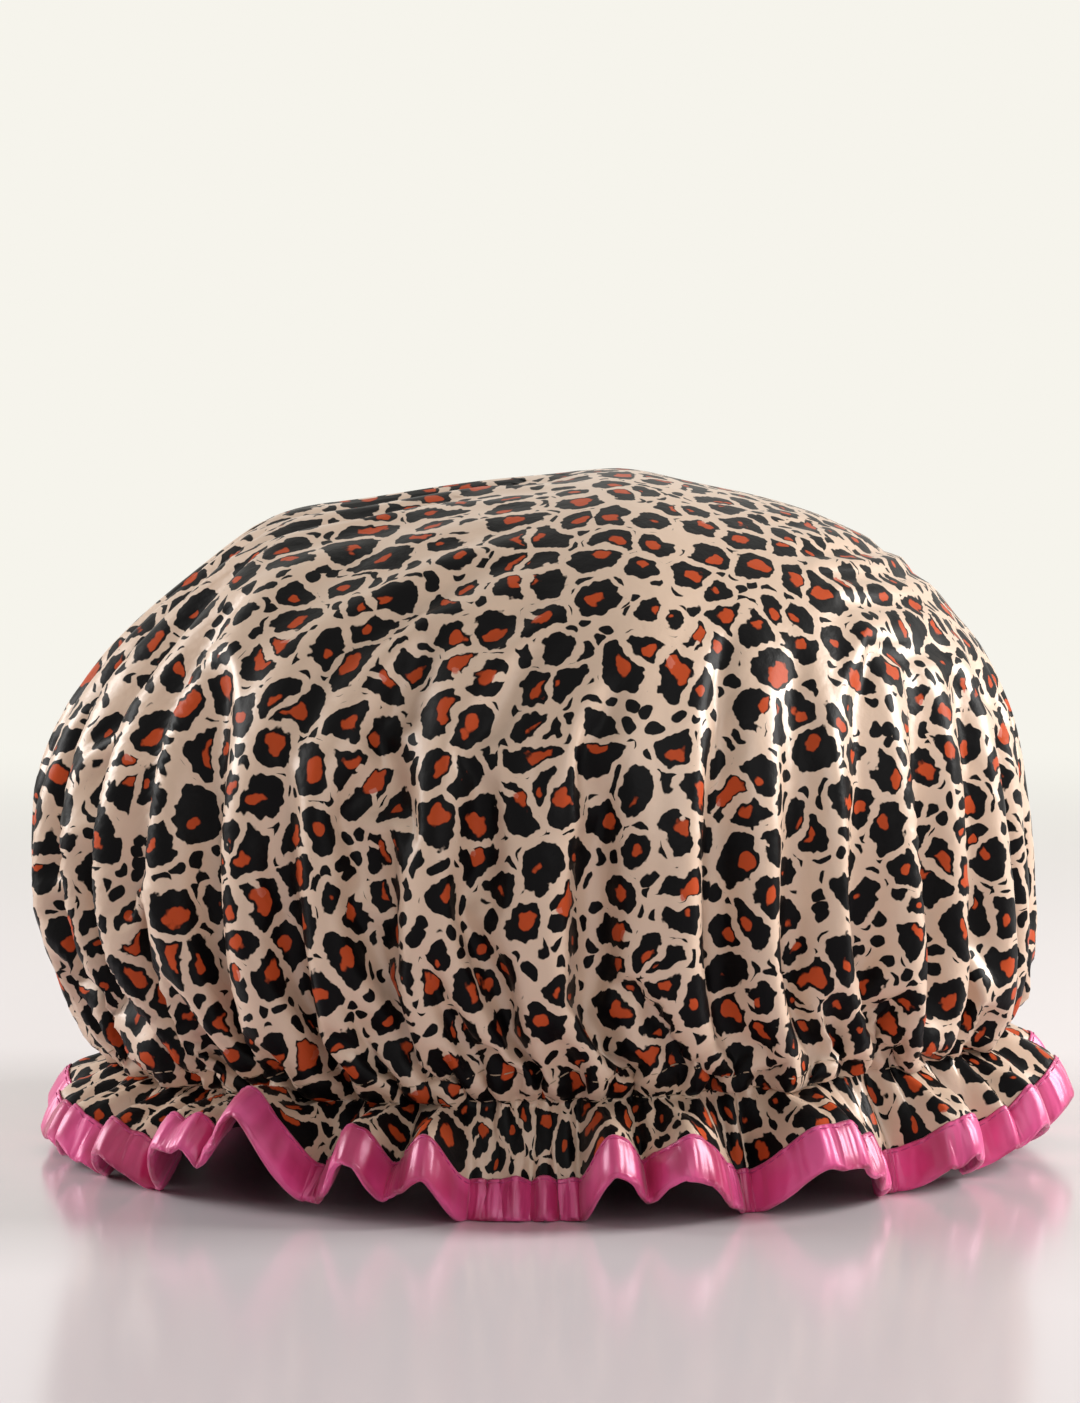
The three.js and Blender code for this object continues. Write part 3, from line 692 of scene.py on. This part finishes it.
# The ink is duller than the bare satin: its gloss and sheen go down with the share of black.
spotted = mixed(satin_node, black_share, ground, ink)
set_inputs(satin_shader, {
    "Base Color": mixed(satin_node, rust_share, spotted, rust),
    "Roughness": 0.38,
    "Specular IOR Level": maths("MULTIPLY_ADD", black_share, -0.82, 0.9),
    "Sheen Weight": maths("MULTIPLY_ADD", black_share, -0.12, 0.12),
    "Sheen Roughness": 0.4,
})
puckers = noise(satin_node, cloth_map, pucker_scale, 4.0, 0.55)["Fac"]
relief(satin_node, satin_shader, puckers, pucker_strength, pucker_height)
satin_disc.data.materials.append(satin)
thicken(satin_disc, satin_thickness, 1)
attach(satin_disc, "root")
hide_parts("crown_satin", "frill_satin")

# Seams of the crown. Beige polyester thread gathers both discs on one line, and a second row above
# the elastic closes its channel. Each stitch is a short arch of thread that dips into the cloth.
gather_thread = 0.00016
gather_stitch = 0.0031
gather_row = gather_flat - 0.0005
channel_row = gather_flat - channel_top - 0.0004
stitch_share = 0.8  # of the pitch, the rest is the gap to the next stitch
stitch_arch, stitch_sink = 1.2, 0.4  # in radii of the thread
seam_points = 1440


def cloth_line(flat):
    """The closed line of the settled satin at a cut radius, at even headings: read between the two
    nearest rings of its points."""
    radii = np.unique(np.round(flat_grid, 7))
    near = int(np.searchsorted(radii, flat))
    even = np.linspace(0, turn, seam_points, endpoint=False)
    lines = []
    for radius in radii[near - 1:near + 1]:
        ring = np.isclose(flat_grid, radius, atol=1e-6)
        place, points = heading_grid[ring] % turn, satin_points[ring]
        parts = [np.interp(even, place, points[:, axis], period=turn) for axis in range(3)]
        lines.append(np.stack(parts, axis=-1))
    share = (flat - radii[near - 1]) / (radii[near] - radii[near - 1])
    out = np.stack([np.sin(even), -np.cos(even), 0 * even], axis=-1)
    return lines[0] * (1 - share) + lines[1] * share, out


def stitches(name, path, outward, pitch, radius):
    """A row of stitches along a closed path. The middle line of each is a low arch, half a sine off
    the cloth. Rings of six points round it shrink at both ends, and two faces close each end."""
    step = np.linalg.norm(np.roll(path, -1, axis=0) - path, axis=1)
    reach = np.concatenate([[0], np.cumsum(step)])
    count = int(reach[-1] / pitch)
    along = np.array([0, 0.12, 0.35, 0.65, 0.88, 1])
    width = np.array([0.25, 0.8, 1, 1, 0.8, 0.25]) * radius
    places = (np.arange(count)[:, None] + stitch_share * along) * reach[-1] / count

    def read(values):
        closed = np.vstack([values, values[:1]])
        return np.stack([np.interp(places, reach, closed[:, axis]) for axis in range(3)], axis=-1)

    centre, normal = read(path), read(outward)
    normal /= np.linalg.norm(normal, axis=2, keepdims=True)
    forward = centre[:, -1:] - centre[:, :1]
    sideways = np.cross(normal, forward)
    sideways /= np.linalg.norm(sideways, axis=2, keepdims=True)
    arch = radius * (stitch_arch * np.sin(np.pi * along) - stitch_sink)
    centre = centre + normal * arch[:, None]
    corners = 6
    angle = (np.arange(corners) * turn / corners)[:, None]
    rings = np.cos(angle) * normal[:, :, None] + np.sin(angle) * sideways[:, :, None]
    rings = centre[:, :, None] + width[:, None, None] * rings
    ring, corner = np.meshgrid(np.arange(len(along) - 1), np.arange(corners), indexing="ij")
    here, after = ring * corners + corner, ring * corners + (corner + 1) % corners
    sides = np.stack([here, after, after + corners, here + corners], axis=-1)
    ends = [[5, 4, 3, 0], [3, 2, 1, 0], [30, 31, 32, 33], [30, 33, 34, 35]]
    one = np.vstack([sides.reshape(-1, 4), ends])
    faces = (np.arange(count) * len(along) * corners)[:, None, None] + one
    return mesh_of(name, rings.reshape(-1, 3), faces.reshape(-1, 4))


def thread_finish(name, tint):
    """A thread material: its own colour with a fine twist across it."""
    finish, shader, node = material_of(name)
    spot = node("ShaderNodeTexCoord").outputs["Object"]
    twist = noise(node, spot, 2600.0, 1.0, dimensions="3D")["Fac"]
    relief(node, shader, twist, 0.4, 0.0001)
    set_inputs(shader, {"Base Color": tint, "Roughness": 0.5})
    return finish


beige_thread = thread_finish("beige_thread", colour(168, 146, 122))
for row_name, row_flat in (("gather_seam", gather_row), ("channel_seam", channel_row)):
    row_path, row_out = cloth_line(row_flat)
    row_path = row_path + row_out * satin_thickness
    seam = stitches(row_name, row_path, row_out, gather_stitch, gather_thread)
    seam.data.materials.append(beige_thread)
    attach(seam, "root")

# Film disc. The lining is a soft waterproof film of the same round cut. Its near-black colour is
# guessed, and it partly paints the shade under the lifted hem. It lies loose inside the crown,
# where it is gathered together with the satin and takes its folds. It goes behind the elastic to
# close its channel, and backs the frill down to the hem.
film_inset = 0.0045
film_behind = 0.0034
film_thickness = 0.0002
film_loose, film_bound = 0.0011, 0.0004  # behind the satin in the open frill, and inside the tape
bound_start, bound_growth = 0.45, 0.15
film_foot, film_top = 0.00095, 0.0178  # rise at which the straight band begins and ends
foot_inside, top_inside = 0.00065, 0.0035
film_puff, puff_growth = 0.0012, 0.004
wide_drape, wide_start, wide_growth = 0.0010, 0.35, 0.8
middle_drape, middle_start, middle_growth = 0.0014, 0.6, 0.6
film_low = 0.0008


def film_point(heading, flat, folds):
    """A point of the film: the crown's smooth outline drawn in, with the satin's folds and finer
    ones of its own, a straight band behind the elastic, and then the frill's surface moved inwards
    by the gap between the layers."""
    level = np.interp(flat, meridian_flat, meridian_levels)
    drape = wide_drape * ripples(heading, wide_band) * ease((level - wide_start) / wide_growth)
    middle = middle_drape * ripples(heading, middle_band)
    drape = drape + middle * ease((level - middle_start) / middle_growth)
    crown = crown_point(heading, level, film_inset - drape, False) + folds
    rise = (2 - level) * fullest_rise
    inside = np.interp(rise, [0, film_foot, channel_top, film_top],
                       [foot_inside, film_behind, film_behind, top_inside])
    puffed = film_puff * puffs(heading) * ease((rise - film_foot) / puff_growth)
    neck = neck_radius - inside + puffed
    sine = np.sin(heading)
    band = np.stack([
        neck_shift + neck * sine,
        -neck * np.cos(heading),
        neck_level(neck_shift + neck * sine) + np.maximum(rise, layer_gap / 2),
    ], axis=-1)
    near = ease((film_top - rise) / (film_top - channel_top))[:, None]
    crown = crown * (1 - near) + band * near
    frill, outward = frill_outward(heading, flat)
    share = (flat - gather_flat) / frill_length
    behind = film_loose + (film_bound - film_loose) * ease((share - bound_start) / bound_growth)
    frill = on_table(frill - behind[:, None] * outward, film_low)
    return np.where((flat <= gather_flat)[:, None], crown, frill)


level_grid = np.interp(flat_grid, meridian_flat, meridian_levels)
satin_folds = satin_points - crown_point(heading_grid, level_grid, 0, False)
film_points = film_point(heading_grid, flat_grid, satin_folds)
film_disc = mesh_of("film_disc", film_points, disc_faces, disc_uv)
film, film_shader, node = material_of("waterproof_film")
# The near-black base colour is partly the film's guessed own colour and partly painted shade for
# the dark seen under the lifted hem.
set_inputs(film_shader, {
    "Base Color": colour(24, 14, 17),
    "Roughness": 0.38,
    "Specular IOR Level": 0.3,
})
cloth_map = node("ShaderNodeUVMap", uv_map="cloth").outputs[0]
relief(node, film_shader, noise(node, cloth_map, 120.0, 5.0, 0.6)["Fac"], 0.5, 0.0010)
film_disc.data.materials.append(film)
thicken(film_disc, film_thickness, -1)
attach(film_disc, "root")
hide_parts("crown_film", "frill_film")

# Elastic band. A knitted off-white tape runs in the channel between satin and film. It keeps its
# own solid and gets a knitted rubber finish.
elastic, elastic_shader, node = material_of("knitted_elastic")
place = node("ShaderNodeTexCoord").outputs["Object"]
ribs = node("ShaderNodeTexWave", {"Vector": place, "Scale": 400.0, "Distortion": 0.6},
            bands_direction="Z").outputs["Fac"]
set_inputs(elastic_shader, {
    "Base Color": mixed(node, ribs, colour(216, 211, 200), colour(243, 240, 233)),
    "Roughness": 0.8,
})
relief(node, elastic_shader, ribs, 0.5, 0.0003)
elastic_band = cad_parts["elastic_band"]
elastic_band.data.materials.clear()
elastic_band.data.materials.append(elastic)

# Hem binding. A pink satin tape is folded over the raw edges of both discs and sewn down near its
# own edges. It follows the waves of the frill and puckers a little across.
binding_stations = 2000
tape_thickness = 0.0003
tape_low = 0.0003
topstitch_place = 0.91  # share of the way from the fold to the tape's edge
topstitch_out = 0.00072
topstitch_pitch, topstitch_thread, topstitch_points = 0.003, 0.00015, 2880

# Outline of the folded tape, each (share of the way from the fold to the sewn edge, millimetres to
# the satin side of the frill's middle), from the edge on the satin side to the one on the film.
binding_profile = np.array([
    (1.00, 0.36), (0.97, 0.48), (0.91, 0.40), (0.84, 0.50), (0.60, 0.60), (0.30, 0.56),
    (0.08, 0.42), (0.00, 0.10), (0.00, -0.40), (0.08, -0.70), (0.30, -0.82), (0.60, -0.82),
    (0.84, -0.74), (0.91, -0.68), (0.97, -0.72), (1.00, -0.64),
])


def binding_point(heading, up, out):
    """A point of the tape: up runs from 0 at the fold to 1 at the sewn edge, along the frill, and
    out goes to the satin side or the film side of it."""
    middle, outward = frill_outward(heading, hem_flat - up * binding_width)
    return on_table(middle + outward * out[:, None], tape_low)


around = np.linspace(0, turn, binding_stations, endpoint=False)
columns = len(binding_profile)
station_heading = np.repeat(around, columns)
profile_up, profile_out = np.tile(binding_profile, (binding_stations, 1)).T
binding_points = binding_point(station_heading, profile_up, profile_out / 1000)
index = np.arange(binding_stations * columns).reshape(binding_stations, columns)
after = np.roll(index, -1, axis=0)
corners = index[:, :-1], index[:, 1:], after[:, 1:], after[:, :-1]
binding_faces = np.stack([corner.ravel() for corner in corners], axis=1)
hem_line = frill_point(np.append(around, 0), np.full(binding_stations + 1, hem_flat))
hem_length = np.linalg.norm(np.diff(hem_line, axis=0), axis=1).sum()
tape_map = np.stack([station_heading / turn * hem_length, profile_out * binding_width], axis=-1)
hem_tape = mesh_of("hem_tape", binding_points, binding_faces, tape_map)

pink, pink_shader, node = material_of("binding_satin")
cloth_map = node("ShaderNodeUVMap", uv_map="cloth").outputs[0]
# Painted shade and highlight: the tape's colour swings in random patches between a deep magenta and
# a pale pink. The patches stand in for the shade in its creases and the light on its folds.
crease_shade_and_light = noise(node, cloth_map, 90.0, 3.0)["Fac"]
crease_shade_and_light = step_between(node, crease_shade_and_light, 0.32, 0.66)
set_inputs(pink_shader, {
    "Base Color": mixed(node, crease_shade_and_light, colour(174, 22, 84), colour(232, 80, 148)),
    "Roughness": 0.35,
    "Specular IOR Level": 1.0,
    "Specular Tint": colour(255, 214, 238),
    "Sheen Weight": 0.15,
})
slanted = node("ShaderNodeMapping", {
    "Vector": cloth_map,
    "Rotation": (0, 0, 0.5),
    "Scale": (1, 0.45, 1),
}).outputs[0]
relief(node, pink_shader, noise(node, slanted, 210.0, 2.0)["Fac"], 0.8, 0.0018)
hem_tape.data.materials.append(pink)
thicken(hem_tape, tape_thickness, 1)
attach(hem_tape, "root")
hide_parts("hem_binding")

# Topstitch of the binding. Pink thread runs just inside the tape's sewn edge and holds both walls.
even = np.linspace(0, turn, topstitch_points, endpoint=False)
row_up = np.full(len(even), topstitch_place)
row_path = binding_point(even, row_up, np.full(len(even), topstitch_out))
row_out = row_path - binding_point(even, row_up, np.zeros(len(even)))
topstitch = stitches("binding_topstitch", row_path, row_out, topstitch_pitch, topstitch_thread)
topstitch.data.materials.append(thread_finish("pink_thread", colour(196, 70, 132)))
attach(topstitch, "root")

# Table, light and backdrop. A plain pale table with a soft sheen, three wide soft lamps and a pale
# surrounding light. Far from the cap the table fades into the backdrop.
backdrop_colour = colour(246, 244, 236)
table_half = 3.0
fade_start, fade_end = 0.4, 1.5
lamp_aim = (0, 0, 0.08)
surrounding_strength = 0.18

table_mesh = bpy.data.meshes.new("table")
table_corners = [(-1, -1), (1, -1), (1, 1), (-1, 1)]
table_mesh.from_pydata([(x * table_half, y * table_half, 0) for x, y in table_corners],
                       [], [(0, 1, 2, 3)])
table = bpy.data.objects.new("table", table_mesh)
bpy.context.scene.collection.objects.link(table)
table_finish, table_shader, node = material_of("table_finish")
set_inputs(table_shader, {
    "Base Color": colour(240, 231, 235),
    "Roughness": 0.16,
    "Specular IOR Level": 0.45,
})
place = node("ShaderNodeTexCoord").outputs["Object"]
away = node("ShaderNodeVectorMath", {0: place}, operation="LENGTH").outputs["Value"]
far = step_between(node, away, fade_start, fade_end)
haze = node("ShaderNodeEmission", {"Color": backdrop_colour, "Strength": 1.0}).outputs[0]
fade = node("ShaderNodeMixShader", {0: far, 1: table_shader.outputs[0], 2: haze}).outputs[0]
set_inputs(table_finish.node_tree.nodes["Material Output"], {"Surface": fade})
table.data.materials.append(table_finish)


def lamp(name, place, side, watts, tint):
    """A square soft lamp that looks at the middle of the cap."""
    data = bpy.data.lights.new(name, "AREA")
    data.shape = "SQUARE"
    data.size = side
    data.energy = watts
    data.color = tint
    made = bpy.data.objects.new(name, data)
    bpy.context.scene.collection.objects.link(made)
    made.location = place
    away = np.array(place) - np.array(lamp_aim)
    across = math.hypot(away[0], away[1])
    made.rotation_euler = (math.atan2(across, away[2]), 0, math.atan2(away[0], -away[1]))


lamp("window", (1.15, 0.1, 0.6), 0.6, 18, (1.0, 0.98, 0.95))
lamp("side", (-1.1, 0.2, 0.5), 0.6, 11, (1.0, 0.99, 0.98))
lamp("front", (0.5, -1.3, 0.7), 0.9, 4.0, (1.0, 0.99, 0.98))

# The camera and the glossy finishes see a bright backdrop, and the cap is lit by a weaker one.
world = bpy.data.worlds.new("surroundings")
bpy.context.scene.world = world
world.use_nodes = True
weak = world.node_tree.nodes["Background"]
set_inputs(weak, {"Color": colour(240, 238, 236), "Strength": surrounding_strength})
bright = add_node(world.node_tree, "ShaderNodeBackground",
                  {"Color": backdrop_colour, "Strength": 1.0})
rays = add_node(world.node_tree, "ShaderNodeLightPath").outputs
seen = add_node(world.node_tree, "ShaderNodeMath",
                {0: rays["Is Camera Ray"], 1: rays["Is Glossy Ray"]}, operation="MAXIMUM")
choose = add_node(world.node_tree, "ShaderNodeMixShader",
                  {0: seen.outputs[0], 1: weak.outputs[0], 2: bright.outputs[0]})
set_inputs(world.node_tree.nodes["World Output"], {"Surface": choose.outputs[0]})

bpy.context.scene.view_settings.view_transform = "Standard"
